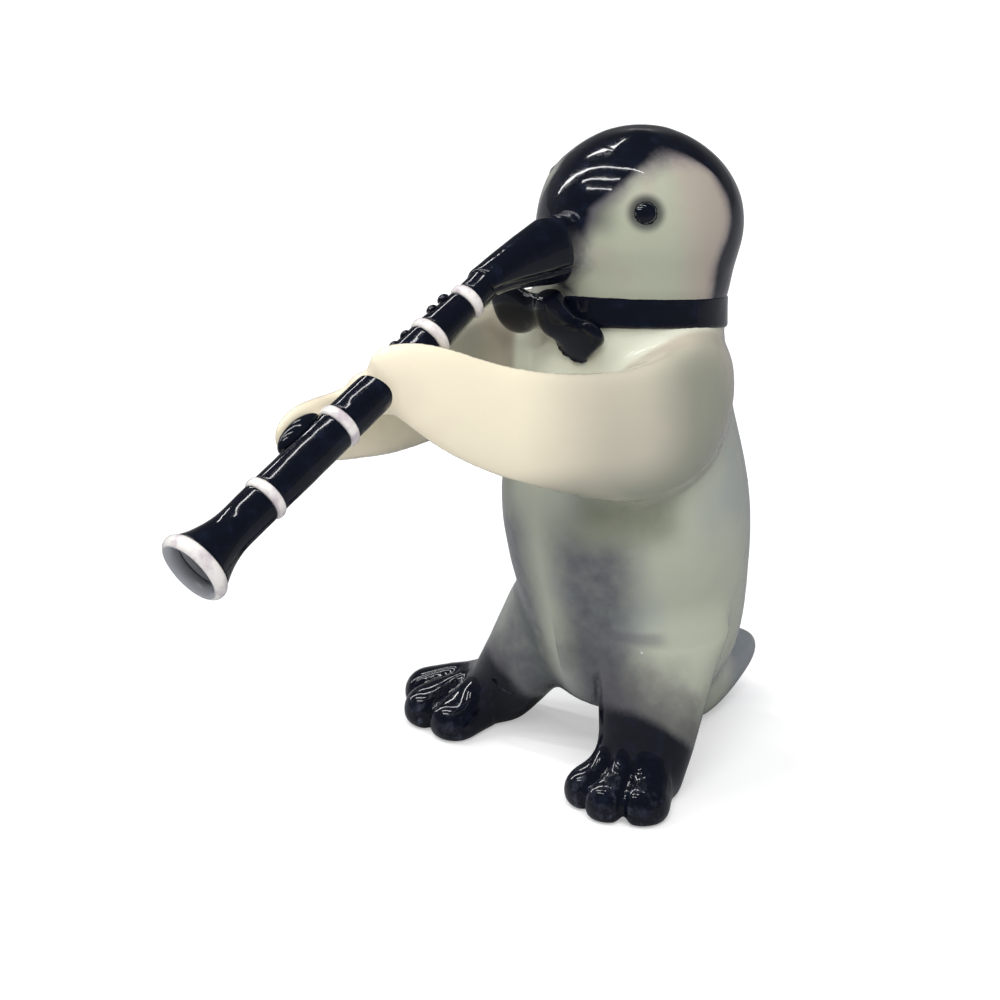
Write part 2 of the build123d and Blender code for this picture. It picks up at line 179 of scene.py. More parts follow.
# Painted shade on the flippers, with some grey paint: outer back of the shoulder, undersides, far flipper
sleeve_grey_and_shade = tint(148, 150, 136)
chest_grey = tint(226, 228, 210)
cheek_grey = tint(170, 174, 155)
cheek_warm = tint(170, 158, 149)
eye_shadow = tint(46, 48, 54)
cap_haze = tint(84, 78, 92)
violet = tint(66, 62, 72)
slate = tint(130, 136, 141)
thin_glaze = tint(130, 138, 160)
white = tint(236, 232, 228)
flare_grey = tint(168, 170, 176)
ring_shade = tint(196, 186, 192)


# Work on meshes
def pick(*objects):
    """Select these objects only, the first one active."""
    if bpy.context.object and bpy.context.object.mode != "OBJECT":
        bpy.ops.object.mode_set(mode="OBJECT")
    bpy.ops.object.select_all(action="DESELECT")
    for each in objects:
        each.select_set(True)
    bpy.context.view_layer.objects.active = objects[0]


def copied(name, *nodes):
    """One object made of copies of these solids, with their loose triangles merged."""
    copies = []
    for node in nodes:
        copy = bpy.data.objects.new(name, frame["nodes"][node].data.copy())
        bpy.context.collection.objects.link(copy)
        copies.append(copy)
    pick(*copies)
    if len(copies) > 1:
        bpy.ops.object.join()
    piece = bpy.context.object
    piece.name = name
    piece.data.name = name
    piece.data.materials.clear()
    bpy.ops.object.mode_set(mode="EDIT")
    bpy.ops.mesh.select_all(action="SELECT")
    bpy.ops.mesh.remove_doubles(threshold=merge_distance)
    bpy.ops.object.mode_set(mode="OBJECT")
    return piece


def finished_by(piece, kind, **settings):
    """Add one modifier with these settings and apply it."""
    pick(piece)
    modifier = piece.modifiers.new(kind.lower(), kind)
    for setting, value in settings.items():
        setattr(modifier, setting, value)
    bpy.ops.object.modifier_apply(modifier=modifier.name)


def remeshed(piece, voxel):
    finished_by(piece, "REMESH", mode="VOXEL", voxel_size=voxel)


def inflated(piece, distance):
    finished_by(piece, "DISPLACE", strength=distance, mid_level=0.0, direction="NORMAL")


def smoothed(piece, steps):
    finished_by(piece, "SMOOTH", factor=0.5, iterations=steps)


def twin(piece, name):
    """A second object with its own copy of the piece's mesh."""
    pick(piece)
    bpy.ops.object.duplicate()
    made = bpy.context.object
    made.name = name
    made.data.name = name
    return made


def select_points(piece, chosen):
    """Go into edit mode with the points selected for which the test holds."""
    pick(piece)
    places = np.empty(len(piece.data.vertices) * 3)
    piece.data.vertices.foreach_get("co", places)
    bpy.ops.object.mode_set(mode="EDIT")
    bpy.ops.mesh.select_mode(type="VERT")
    bpy.ops.mesh.select_all(action="DESELECT")
    bpy.ops.object.mode_set(mode="OBJECT")
    piece.data.vertices.foreach_set("select", chosen(places.reshape(-1, 3)))
    bpy.ops.object.mode_set(mode="EDIT")
    bpy.ops.mesh.select_mode(type="VERT")


def kept_island(piece, chosen):
    """Keep only the parts of the skin that are connected to the chosen points."""
    select_points(piece, chosen)
    bpy.ops.mesh.select_linked()
    bpy.ops.mesh.select_all(action="INVERT")
    bpy.ops.mesh.delete(type="VERT")
    bpy.ops.object.mode_set(mode="OBJECT")


def solid_tree(node):
    """A search tree of a solid's faces."""
    return BVHTree.FromObject(frame["nodes"][node], bpy.context.evaluated_depsgraph_get())


def pressed(piece, node, share):
    """Press the skin towards a solid, by a share given for every place."""
    tree = solid_tree(node)
    places = np.array([vertex.co for vertex in piece.data.vertices])
    shares = share(places)
    for index in np.flatnonzero(shares > 0):
        nearest = np.array(tree.find_nearest(Vector(places[index]))[0])
        places[index] += (nearest - places[index]) * shares[index]
    piece.data.vertices.foreach_set("co", places.ravel())
    piece.data.update()


def added(piece, *nodes):
    """Join copies of more solids to the piece."""
    pick(piece, copied("more", *nodes))
    bpy.ops.object.join()


def smoothed_near(piece, centre, reach, steps):
    """Soften the skin round a point, most at the point and not at all beyond its reach."""
    softened = piece.vertex_groups.new(name="softened")
    for vertex in piece.data.vertices:
        share = 1 - (vertex.co - centre).length / reach
        if share > 0:
            softened.add([vertex.index], share, "REPLACE")
    finished_by(piece, "SMOOTH", factor=0.5, iterations=steps, vertex_group=softened.name)
    piece.vertex_groups.clear()


def joined_smoothly(piece, voxel, rounding, steps):
    """Melt overlapping forms into one skin whose inner corners are rounded and outer forms stay."""
    remeshed(piece, voxel)
    smoothed(piece, calming_steps)
    inflated(piece, rounding)
    remeshed(piece, voxel)
    smoothed(piece, calming_steps)
    inflated(piece, -rounding)
    remeshed(piece, voxel)
    smoothed(piece, steps)


waves = bpy.data.textures.new("hand_waves", "CLOUDS")
waves.noise_scale = wave_size


def shaped_by_hand(piece):
    """Give the skin the slow unevenness of hand-pressed clay, and keep it on the table."""
    finished_by(piece, "DISPLACE", texture=waves, texture_coords="LOCAL", strength=wave_height, mid_level=0.5)
    places = np.empty(len(piece.data.vertices) * 3)
    piece.data.vertices.foreach_get("co", places)
    places[2::3] = np.maximum(places[2::3], 0)
    piece.data.vertices.foreach_set("co", places)


def parted(piece, point, normal, nearby=lambda places: np.ones(len(places), bool)):
    """Cut the piece at a plane, drop what lies on the normal's side and close the cut."""
    select_points(piece, nearby)
    bpy.ops.mesh.bisect(plane_co=point, plane_no=normal, use_fill=True, clear_outer=True)
    bpy.ops.object.mode_set(mode="OBJECT")


def near_ankle(side):
    """A test that holds round the ankle and foot on one side, clear of the belly and the tail."""
    def holds(places):
        x, y, z = (places - np.array(bird_axis)).T
        return (x * side > foot_inner_x) & (y < foot_back_y) & (z < foot_top_z)
    return holds


def near_neck(places):
    """A test that holds inside the collar band, clear of the flippers."""
    away = places - np.array(seam_centre)
    up = np.array(seam_up)
    return np.linalg.norm(away - np.outer(away @ up, up), axis=1) < collar_radius + collar_clear


def moved_along_normals(piece, amounts):
    """Move every point out along its normal by its own amount."""
    places = np.empty(len(piece.data.vertices) * 3)
    normals = np.empty(len(piece.data.vertices) * 3)
    piece.data.vertices.foreach_get("co", places)
    piece.data.vertex_normals.foreach_get("vector", normals)
    places += normals * np.repeat(amounts(places.reshape(-1, 3)), 3)
    piece.data.vertices.foreach_set("co", places)
    piece.data.update()


def settled(piece, material, slot, *nodes):
    """Shade the piece, give it its material, and let it stand for these solids."""
    pick(piece)
    bpy.ops.object.shade_smooth_by_angle(angle=smooth_angle)
    piece.data.materials.append(material)
    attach(piece, "root")
    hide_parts(*nodes)


def marked(piece, mark, chosen, others, blur, border=False):
    """Write on every point its share in the chosen solids, or how near it is to their border."""
    places = [vertex.co for vertex in piece.data.vertices]
    nearest = []
    for group in (chosen, others):
        trees = [solid_tree(node) for node in group]
        nearest.append(np.array([min(tree.find_nearest(place)[3] for tree in trees) for place in places]))
    amount = (nearest[0] < nearest[1]).astype(float)
    ends = np.empty(len(piece.data.edges) * 2, int)
    piece.data.edges.foreach_get("vertices", ends)
    ends = ends.reshape(-1, 2)
    links = np.bincount(ends.ravel(), minlength=len(amount))
    for _ in range(blur):
        sums = np.bincount(ends[:, 0], amount[ends[:, 1]], len(amount))
        sums += np.bincount(ends[:, 1], amount[ends[:, 0]], len(amount))
        amount = sums / np.maximum(links, 1)
    if border:
        amount = 1 - np.abs(2 * amount - 1)
    piece.data.attributes.new(mark, "FLOAT", "POINT").data.foreach_set("value", amount)


# Work on materials
class Recipe:
    """Short ways to lay out the nodes of one material or group."""

    def __init__(self, tree):
        self.tree = tree
        self.nodes = tree.nodes

    def put(self, kind, sockets=None, **settings):
        """One node, with its settings and with numbers or other sockets on its inputs."""
        made = self.nodes.new("ShaderNode" + kind)
        for setting, value in settings.items():
            setattr(made, setting, value)
        for socket, value in (sockets or {}).items():
            if isinstance(value, bpy.types.NodeSocket):
                self.tree.links.new(value, made.inputs[socket])
            else:
                made.inputs[socket].default_value = value
        return made

    def sum(self, operation, *values):
        """One step of arithmetic."""
        return self.put("Math", dict(enumerate(values)), operation=operation).outputs[0]

    def mix(self, share, first, second, way="MIX"):
        """One colour laid over another by a share."""
        return self.put("Mix", {0: share, 6: first, 7: second}, data_type="RGBA", blend_type=way).outputs[2]

    def rise(self, value, start, end):
        """A soft step from 0 at start to 1 at end."""
        return self.put("MapRange", {0: value, 1: start, 2: end}, interpolation_type="SMOOTHSTEP").outputs[0]

    def hump(self, value, centre, inner, outer):
        """A soft bump: 1 up to the inner distance from the centre, 0 beyond the outer one."""
        return self.rise(self.sum("ABSOLUTE", self.sum("SUBTRACT", value, centre)), outer, inner)

    def noise(self, place, scale, detail=2.0):
        return self.put("TexNoise", {"Vector": place, "Scale": scale, "Detail": detail}).outputs[0]


def group(name, given, yielded):
    """An empty node group with these input numbers or vectors and these output values."""
    tree = bpy.data.node_groups.new(name, "ShaderNodeTree")
    for socket, value in given.items():
        kind = "NodeSocketVector" if value is None else "NodeSocketFloat"
        made = tree.interface.new_socket(socket, in_out="INPUT", socket_type=kind)
        if value is not None:
            made.default_value = value
    for socket in yielded:
        tree.interface.new_socket(socket, in_out="OUTPUT", socket_type="NodeSocketFloat")
    return tree, Recipe(tree), (tree.nodes.new("NodeGroupInput"), tree.nodes.new("NodeGroupOutput"))


def placed(recipe, tree, **sockets):
    """One use of a node group."""
    named = {key.replace("_", " "): value for key, value in sockets.items()}
    return recipe.put("Group", named, node_tree=tree)


# Glaze: a slow orange-peel, fine brush unevenness and a few pinholes. Scales are in waves a metre.
slow_scale = 420.0
fine_scale = 2600.0
pinhole_scale = 520.0
usual_roughness = 0.12
bump_depth = 0.00012
bump_strength = 0.35
paint_gloss = 0.1
coat_roughness = 0.035
coat_ior = 1.38
glaze_tree, glaze, (glaze_in, glaze_out) = group(
    "glaze_surface", {"Place": None, "Unevenness": 1.0, "Base Roughness": usual_roughness},
    ("Roughness", "Height"))
slow = glaze.noise(glaze_in.outputs["Place"], slow_scale)
fine = glaze.noise(glaze_in.outputs["Place"], fine_scale, 3.0)
cells = glaze.put("TexVoronoi", {"Vector": glaze_in.outputs["Place"], "Scale": pinhole_scale})
pinholes = glaze.sum("SUBTRACT", 1.0, glaze.rise(cells.outputs["Distance"], 0.03, 0.09))
relief = glaze.sum("SUBTRACT", glaze.sum("ADD", slow, glaze.sum("MULTIPLY", fine, 0.16)),
                   glaze.sum("MULTIPLY", pinholes, 0.25))
uneven = glaze.sum("MULTIPLY", relief, glaze_in.outputs["Unevenness"])
glaze.tree.links.new(uneven, glaze_out.inputs["Height"])
dulled = glaze.sum("MULTIPLY", glaze.rise(fine, 0.45, 0.8), 0.10)
roughness = glaze.sum("ADD", glaze_in.outputs["Base Roughness"], dulled)
glaze.tree.links.new(roughness, glaze_out.inputs["Roughness"])

# Airbrush: a soft edge that breaks up into fine spray
usual_softness = 0.0005
drop_scale = 3800.0
drift_scale = 500.0
spray_tree, spray, (spray_in, spray_out) = group(
    "airbrush_edge", {"Place": None, "Distance": 0.0, "Softness": usual_softness, "Grain": 0.5}, ("Mask",))
drops = spray.sum("SUBTRACT", spray.noise(spray_in.outputs["Place"], drop_scale, 2.0), 0.5)
drift = spray.sum("SUBTRACT", spray.noise(spray_in.outputs["Place"], drift_scale, 3.0), 0.5)
shaken = spray.sum("ADD", spray_in.outputs["Distance"], spray.sum(
    "MULTIPLY", spray.sum("ADD", spray.sum("MULTIPLY", drops, spray_in.outputs["Grain"]), drift),
    spray_in.outputs["Softness"]))
lower = spray.sum("MULTIPLY", spray_in.outputs["Softness"], -1.0)
edge = spray.put("MapRange", {0: shaken, 1: lower, 2: spray_in.outputs["Softness"]},
                 interpolation_type="SMOOTHSTEP")
spray.tree.links.new(edge.outputs[0], spray_out.inputs["Mask"])


def glazed(name, paint, unevenness=1.0):
    """A material: painted colour under a clear glaze. paint lays out the colour from the places."""
    material = bpy.data.materials.new(name)
    material.use_nodes = True
    material.node_tree.nodes.clear()
    recipe = Recipe(material.node_tree)
    place = recipe.put("TexCoord").outputs["Object"]
    from_axis = recipe.put("VectorMath", {0: place, 1: bird_axis}, operation="SUBTRACT").outputs[0]
    surface = placed(recipe, glaze_tree, Place=place, Unevenness=unevenness, Base_Roughness=usual_roughness)
    bump = recipe.put("Bump", {
        "Strength": bump_strength, "Distance": bump_depth, "Height": surface.outputs["Height"]})
    shader = recipe.put("BsdfPrincipled", {
        "Base Color": paint(recipe, place, from_axis), "Roughness": surface.outputs["Roughness"],
        "Normal": bump.outputs[0], "Specular IOR Level": paint_gloss, "Coat Weight": 1.0,
        "Coat Roughness": coat_roughness, "Coat IOR": coat_ior})
    recipe.put("OutputMaterial", {"Surface": shader.outputs[0]})
    return material


def split(recipe, vector):
    """The three parts of a vector."""
    return recipe.put("SeparateXYZ", {0: vector}).outputs


# Paints: scales of their unevenness, in waves a metre
thin_scale = 900.0
ring_scale = 700.0
toe_scale = 1500.0
blush_scale = 260.0
torso_scale = 120.0
fleck_scale = 900.0


def black_paint(recipe, place, from_axis):
    """Black that turns blue where the brush left it thin."""
    thin = recipe.rise(recipe.noise(place, thin_scale, 4.0), 0.5, 0.75)
    return recipe.mix(recipe.sum("MULTIPLY", thin, 0.6), black, blue_black)


def ring_paint(recipe, place, from_axis):
    """White with a pinkish grey shade here and there."""
    return recipe.mix(recipe.rise(recipe.noise(place, ring_scale, 3.0), 0.42, 0.7), white, ring_shade)


# Mouth of the bell: radii and ways from the axis of the clarinet
horn_start = Vector((ring_low + ring_high) / 2)
horn_end = sum((Vector(corner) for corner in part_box("bell_rim")), Vector()) / 2
horn_way = (horn_end - horn_start).normalized()
mouth_way = (horn_end - horn_start).length
flare_radius = 0.00235
bore_dark_radius = 0.0011
flare_slope = 0.35
lip_softness = 0.00012
mouth_back = mouth_way - 0.008
mouth_front = mouth_way - 0.007


def mouth_paint(recipe, place, outer):
    """Grey inside the bell, white at its lip and black down the bore, over an outer colour."""
    away = recipe.put("VectorMath", {0: place, 1: horn_start}, operation="SUBTRACT").outputs[0]
    along = recipe.put("VectorMath", {0: away, 1: horn_way}, operation="DOT_PRODUCT").outputs["Value"]
    whole = recipe.put("VectorMath", {0: away}, operation="LENGTH").outputs["Value"]
    radius = recipe.sum("SQRT", recipe.sum("SUBTRACT", recipe.sum("MULTIPLY", whole, whole),
                                           recipe.sum("MULTIPLY", along, along)))
    depth = recipe.sum("SUBTRACT", mouth_way, along)
    wall = recipe.sum("SUBTRACT", flare_radius, recipe.sum("MULTIPLY", depth, flare_slope))
    inside = recipe.sum("SUBTRACT", wall, radius)
    inner = recipe.mix(recipe.rise(radius, bore_dark_radius, flare_radius), black, flare_grey)
    near_mouth = recipe.sum("MULTIPLY", recipe.rise(inside, 0.0, lip_softness),
                            recipe.rise(along, mouth_back, mouth_front))
    return recipe.mix(near_mouth, outer, inner)


def bell_paint(recipe, place, from_axis):
    return mouth_paint(recipe, place, black_paint(recipe, place, from_axis))


def rim_paint(recipe, place, from_axis):
    return mouth_paint(recipe, place, ring_paint(recipe, place, from_axis))


# Black of the feet: it ends on a slanting line that drops towards the heel, in a soft violet spray.
# Pairs give where a fade starts and where it is full.
near_cuff_way = 0.0066
far_cuff_way = 0.0074
near_cuff_y = -0.0084
far_cuff_y = -0.0075
cuff_slope = 0.6
near_spray = 0.0080
far_spray = 0.0034
cuff_softness = 0.0006
near_leg_x = (0.0015, 0.0040)
near_leg_y = (-0.0070, -0.0080)
far_leg_x = (-0.0046, -0.0060)
heel_y = (0.0005, -0.0025)
shin_z = (0.0165, 0.0110)


def leg_black(recipe, place, from_axis, colour):
    """Lay the black of a foot and the violet spray above it over a colour."""
    x, y, z = split(recipe, from_axis)
    sides = []
    for sole, leg_way, cuff_way, cuff_y in ((left_sole, left_leg_way, near_cuff_way, near_cuff_y),
                                            (right_sole, right_leg_way, far_cuff_way, far_cuff_y)):
        away = recipe.put("VectorMath", {0: place, 1: sole}, operation="SUBTRACT").outputs[0]
        way = recipe.put("VectorMath", {0: away, 1: leg_way}, operation="DOT_PRODUCT").outputs["Value"]
        back = recipe.sum("MAXIMUM", recipe.sum("SUBTRACT", y, cuff_y), 0.0)
        sides.append(recipe.sum("SUBTRACT", recipe.sum("SUBTRACT", cuff_way, way),
                                recipe.sum("MULTIPLY", back, cuff_slope)))
    left = recipe.sum("GREATER_THAN", x, 0.0)
    near_side, far_side = sides
    step = recipe.sum("MULTIPLY", left, recipe.sum("SUBTRACT", near_side, far_side))
    below = recipe.sum("ADD", far_side, step)
    aside = recipe.sum("MAXIMUM", recipe.rise(x, *near_leg_x), recipe.rise(y, *near_leg_y))
    aside = recipe.sum("MAXIMUM", recipe.sum("MULTIPLY", aside, left), recipe.rise(x, *far_leg_x))
    low = recipe.sum("MULTIPLY", recipe.rise(y, *heel_y), aside)
    low = recipe.sum("MULTIPLY", low, recipe.rise(z, *shin_z))
    half = recipe.sum("ADD", far_spray / 2, recipe.sum("MULTIPLY", left, (near_spray - far_spray) / 2))
    haze = placed(recipe, spray_tree, Place=place, Distance=recipe.sum("ADD", below, half),
                  Softness=half, Grain=0.1).outputs[0]
    painted = placed(recipe, spray_tree, Place=place, Distance=below, Softness=cuff_softness,
                     Grain=0.5).outputs[0]
    sprayed = recipe.mix(recipe.sum("MULTIPLY", haze, recipe.sum("MULTIPLY", low, 0.8)), colour, violet)
    return recipe.mix(recipe.sum("MULTIPLY", painted, low), sprayed, black_paint(recipe, place, from_axis))


# Trunk paint: heights, and angles from straight ahead, where the airbrush worked and where shade is painted
# in
tail_y = (0.0070, 0.0105)
tail_z = (0.0105, 0.0080)
belly_dark_angle = 28.0
belly_dark_reach = (6.0, 32.0)
olive_angle = 44.0
olive_reach = (14.0, 32.0)
fold_angle = 48.0
fold_reach = (8.0, 17.0)
fold_z = 0.0129
fold_heights = (0.0001, 0.0006)
belly_dark_z = (0.0245, 0.0195)
olive_z = (0.0195, 0.0225)
breast_y = (0.0, 0.0060)
breast_z = (0.0295, 0.0335)
sleeve_y = (-0.0180, -0.0100)
shoulder_y = (-0.0090, -0.0030)
shoulder_x = (0.0080, 0.0105)
under_sleeve_z = (0.0300, 0.0258)
far_sleeve_x = (-0.0010, -0.0050)


def trunk_paint(recipe, place, from_axis):
    """Grey-green torso, cream flippers, slate tail, darker spray with painted shade on the belly, and painted
    shade under and on the flippers and along the right leg's crease.
    """
    x, y, z = split(recipe, from_axis)
    drift = recipe.noise(place, torso_scale, 2.0)
    fleck = recipe.noise(place, fleck_scale, 3.0)
    broken = recipe.sum("ADD", 0.88, recipe.sum("MULTIPLY", recipe.sum("SUBTRACT", fleck, 0.5), 0.4))
    ahead = recipe.sum("MULTIPLY", y, -1.0)
    angle = recipe.sum("DEGREES", recipe.sum("ARCTAN2", recipe.sum("ABSOLUTE", x), ahead))
    colour = recipe.mix(recipe.rise(drift, 0.35, 0.7), torso_grey, torso_cool)
    # Darker blue-grey band down the belly's front below the flippers: partly paint, partly painted shade
    dark = recipe.hump(angle, belly_dark_angle, *belly_dark_reach)
    dark = recipe.sum("MULTIPLY", dark, recipe.rise(z, *belly_dark_z))
    colour = recipe.mix(recipe.sum("MULTIPLY", dark, broken), colour, belly_blue_and_shade)
    # Painted shade in olive-grey just under the flippers
    under = recipe.hump(angle, olive_angle, *olive_reach)
    under = recipe.sum("MULTIPLY", under, recipe.rise(z, *olive_z))
    colour = recipe.mix(recipe.sum("MULTIPLY", under, broken), colour, olive_painted_shade)
    fold = recipe.hump(angle, fold_angle, *fold_reach)
    fold = recipe.sum("MULTIPLY", fold, recipe.hump(z, fold_z, *fold_heights))
    colour = recipe.mix(recipe.sum("MULTIPLY", fold, 0.45), colour, fold_shade)
    # Grey-green along the crease where the right leg meets the belly, partly painted shade
    crease = recipe.put("Attribute", attribute_name="crease").outputs["Fac"]
    colour = recipe.mix(recipe.sum("MULTIPLY", crease, 0.8), colour, crease_green_and_shade)
    # Chest pale in front and greyer cream behind, partly painted shade
    breast = recipe.mix(recipe.rise(y, *breast_y), chest_grey, grey_cream_and_shade)
    colour = recipe.mix(recipe.rise(z, *breast_z), colour, breast)
    # Flippers cream at the hand and greyer towards the elbow: partly grey paint, partly painted shade
    sleeve = recipe.mix(recipe.rise(y, *sleeve_y), cream, grey_cream_and_shade)
    # Painted shade on the outer back of the shoulder, on the flippers' lower parts and on the far flipper
    outer = recipe.sum("MULTIPLY", recipe.rise(y, *shoulder_y), recipe.rise(x, *shoulder_x))
    sleeve = recipe.mix(outer, sleeve, sleeve_grey_and_shade)
    sleeve = recipe.mix(recipe.rise(z, *under_sleeve_z), sleeve, sleeve_grey_and_shade)
    sleeve = recipe.mix(recipe.sum("MULTIPLY", recipe.rise(x, *far_sleeve_x), 0.7), sleeve, sleeve_grey_and_shade)
    sleeve = recipe.mix(recipe.sum("MULTIPLY", recipe.rise(drift, 0.45, 0.75), 0.35), sleeve, cream_blush)
    flipper = recipe.put("Attribute", attribute_name="flipper").outputs["Fac"]
    colour = recipe.mix(recipe.rise(flipper, 0.1, 0.9), colour, sleeve)
    tail = recipe.sum("MULTIPLY", recipe.rise(y, *tail_y), recipe.rise(z, *tail_z))
    colour = recipe.mix(tail, colour, slate)
    return leg_black(recipe, place, from_axis, colour)


ridge_z = (0.0052, 0.0044)


def foot_paint(recipe, place, from_axis):
    """The leg's paint, with blue-white along the ridges of the toes, where the glaze ran thin."""
    pointed = recipe.put("NewGeometry").outputs["Pointiness"]
    ridge = recipe.sum("MULTIPLY", recipe.rise(pointed, 0.505, 0.56),
                       recipe.rise(recipe.noise(place, toe_scale, 3.0), 0.45, 0.7))
    low = recipe.rise(split(recipe, from_axis)[2], *ridge_z)
    thin = recipe.sum("MULTIPLY", recipe.sum("MULTIPLY", ridge, low), 0.55)
    return recipe.mix(thin, trunk_paint(recipe, place, from_axis), thin_glaze)


# Head paint: a black cap over pale cheeks, drawn by the angle round the head and the height
head_axis_y = 0.0015
cheek_front = 12.0
far_cheek_front = 40.0
chin_front = 3.0
cheek_back_low = 93.0
cheek_back_high = 109.0
cheek_back_low_z = 0.0410
cheek_back_high_z = 0.0465
chin_z = 0.0403
jaw_height = 0.0020
bill_y = -0.0077
far_side_x = 0.0004
far_cap_drop = 0.0012
degree_width = 0.000135
cheek_softness = 0.00045
root_softness = 0.00012
haze_start = 0.0005
haze_softness = 0.0009
# Pairs of angles and heights between which the blush and the dark before the eye fade
blush_angles = (58.0, 84.0)
lore_angles = (38.0, 14.0)
lore_z = (0.0438, 0.0458)
# Lower edge of the cap: the angle from straight ahead, and the height there
cap_edge = ((0.0, 0.0440), (10.0, 0.0460), (17.0, 0.0469), (30.0, 0.0481), (49.0, 0.0492), (70.0, 0.0496),
            (84.0, 0.0496), (96.0, 0.0493), (103.0, 0.0488), (110.0, 0.0474))
cap_low, cap_high = 0.0430, 0.0500


def head_paint(recipe, place, from_axis):
    """Black cap and nape, pale cheeks and chin, violet where the spray thins out, dark round the eyes."""
    x, y, z = split(recipe, from_axis)
    ahead = recipe.sum("SUBTRACT", head_axis_y, y)
    angle = recipe.sum("DEGREES", recipe.sum("ARCTAN2", recipe.sum("ABSOLUTE", x), ahead))
    curve = recipe.put("FloatCurve", {1: recipe.sum("DIVIDE", angle, 180.0)})
    points = curve.mapping.curves[0].points
    heights = [(turn / 180.0, (height - cap_low) / (cap_high - cap_low)) for turn, height in cap_edge]
    points[0].location = heights[0]
    points[1].location = heights[-1]
    for turn, height in heights[1:-1]:
        points.new(turn, height)
    curve.mapping.update()
    far = recipe.rise(x, far_side_x, -far_side_x)
    edge_z = recipe.sum("ADD", recipe.sum("MULTIPLY", curve.outputs[0], cap_high - cap_low), cap_low)
    edge_z = recipe.sum("SUBTRACT", edge_z, recipe.sum("MULTIPLY", far, far_cap_drop))
    below_cap = recipe.sum("SUBTRACT", edge_z, z)
    brow = recipe.sum("ADD", cheek_front, recipe.sum("MULTIPLY", far, far_cheek_front - cheek_front))
    jaw = recipe.rise(z, chin_z, chin_z + jaw_height)
    opening = recipe.sum("MULTIPLY", jaw, recipe.sum("SUBTRACT", brow, chin_front))
    front = recipe.sum("ADD", chin_front, opening)
    behind_front = recipe.sum("MULTIPLY", recipe.sum("SUBTRACT", angle, front), degree_width)
    below_bill = recipe.sum("SUBTRACT", chin_z, z)
    behind_bill = recipe.sum("MAXIMUM", behind_front, below_bill)
    lift = recipe.rise(z, cheek_back_low_z, cheek_back_high_z)
    swing = recipe.sum("MULTIPLY", lift, cheek_back_high - cheek_back_low)
    back_edge = recipe.sum("ADD", cheek_back_low, swing)
    before_nape = recipe.sum("MULTIPLY", recipe.sum("SUBTRACT", back_edge, angle), degree_width)
    inside = recipe.sum("MINIMUM", recipe.sum("MINIMUM", below_cap, before_nape), behind_bill)
    behind_root = recipe.sum("SUBTRACT", y, bill_y)
    inside = recipe.sum("MINIMUM", inside, behind_root)
    soft = placed(recipe, spray_tree, Place=place, Distance=inside, Softness=cheek_softness,
                  Grain=0.3).outputs[0]
    sharp = placed(recipe, spray_tree, Place=place, Distance=behind_root, Softness=root_softness,
                   Grain=0.1).outputs[0]
    cheek = recipe.sum("MINIMUM", soft, sharp)
    haze = placed(recipe, spray_tree, Place=place, Distance=recipe.sum("SUBTRACT", inside, haze_start),
                  Softness=haze_softness, Grain=0.3).outputs[0]
    blush = recipe.rise(recipe.noise(place, blush_scale, 2.0), 0.48, 0.72)
    pale = recipe.mix(recipe.sum("MULTIPLY", blush, 0.6), cheek_grey, cheek_warm)
    nearest = recipe.sum("MINIMUM", *(
        recipe.put("VectorMath", {0: place, 1: centre}, operation="DISTANCE").outputs["Value"]
        for centre in (left_eye_centre, right_eye_centre)))
    halo = recipe.rise(nearest, eye_halo_radius, eye_black_radius)
    pale = recipe.mix(recipe.sum("MULTIPLY", halo, 0.8), pale, eye_shadow)
    pale = recipe.mix(recipe.sum("MULTIPLY", recipe.rise(angle, *blush_angles), 0.8), pale, cheek_warm)
    lore = recipe.sum("MULTIPLY", recipe.rise(angle, *lore_angles), recipe.rise(z, *lore_z))
    pale = recipe.mix(recipe.sum("MULTIPLY", lore, 0.75), pale, eye_shadow)
    violet_share = recipe.sum("MULTIPLY", recipe.sum("SUBTRACT", 1.0, haze), 0.8)
    tinted = recipe.mix(violet_share, pale, cap_haze)
    return recipe.mix(cheek, black_paint(recipe, place, from_axis), tinted)


trunk_glaze = glazed("trunk_glaze", trunk_paint)
head_glaze = glazed("head_glaze", head_paint)
foot_glaze = glazed("foot_glaze", foot_paint, unevenness=1.4)
black_glaze = glazed("black_glaze", black_paint)
ring_glaze = glazed("ring_glaze", ring_paint)
bell_glaze = glazed("bell_glaze", bell_paint)
rim_glaze = glazed("rim_glaze", rim_paint)


# Trunk, legs, feet, flippers and tail melt into one skin, parted from the head at the collar
def toes(places):
    """How far the toes swell, with the grooves between them pressed in."""
    height = np.zeros(len(places))
    for sole, azimuth in ((left_sole, left_foot_azimuth), (right_sole, right_foot_azimuth)):
        away = places - np.array(sole)
        reach = np.hypot(away[:, 0], away[:, 1])
        turn = np.arctan2(away[:, 0], -away[:, 1]) - azimuth
        low = np.clip((toe_top_z - away[:, 2]) / toe_fade, 0, 1)
        low = low * np.clip((reach - toe_reach) / toe_fade, 0, 1)
        low *= (reach < toe_end_reach) & (np.abs(turn) < toe_spread * 2)
        gap = reach * (np.abs(turn) - toe_spread / 2)
        height += low * (toe_swell - toe_groove_depth * np.exp(-(gap / toe_groove_width) ** 2))
    return height


trunk = copied("trunk", "body", "left_leg", "right_leg", "left_foot", "right_foot", "left_flipper",
               "right_flipper", "tail")
joined_smoothly(trunk, trunk_voxel, trunk_round, calming_steps)
added(trunk, "collar_band")
joined_smoothly(trunk, trunk_voxel, edge_round, trunk_steps)
parted(trunk, seam_centre, seam_up, near_neck)
moved_along_normals(trunk, toes)
shaped_by_hand(trunk)
marked(trunk, "flipper", ("left_flipper", "right_flipper"),
       ("body", "left_leg", "right_leg", "tail", "collar_band"), 6)
marked(trunk, "crease", ("right_leg", "right_foot"), ("body", "left_leg"), 12, border=True)

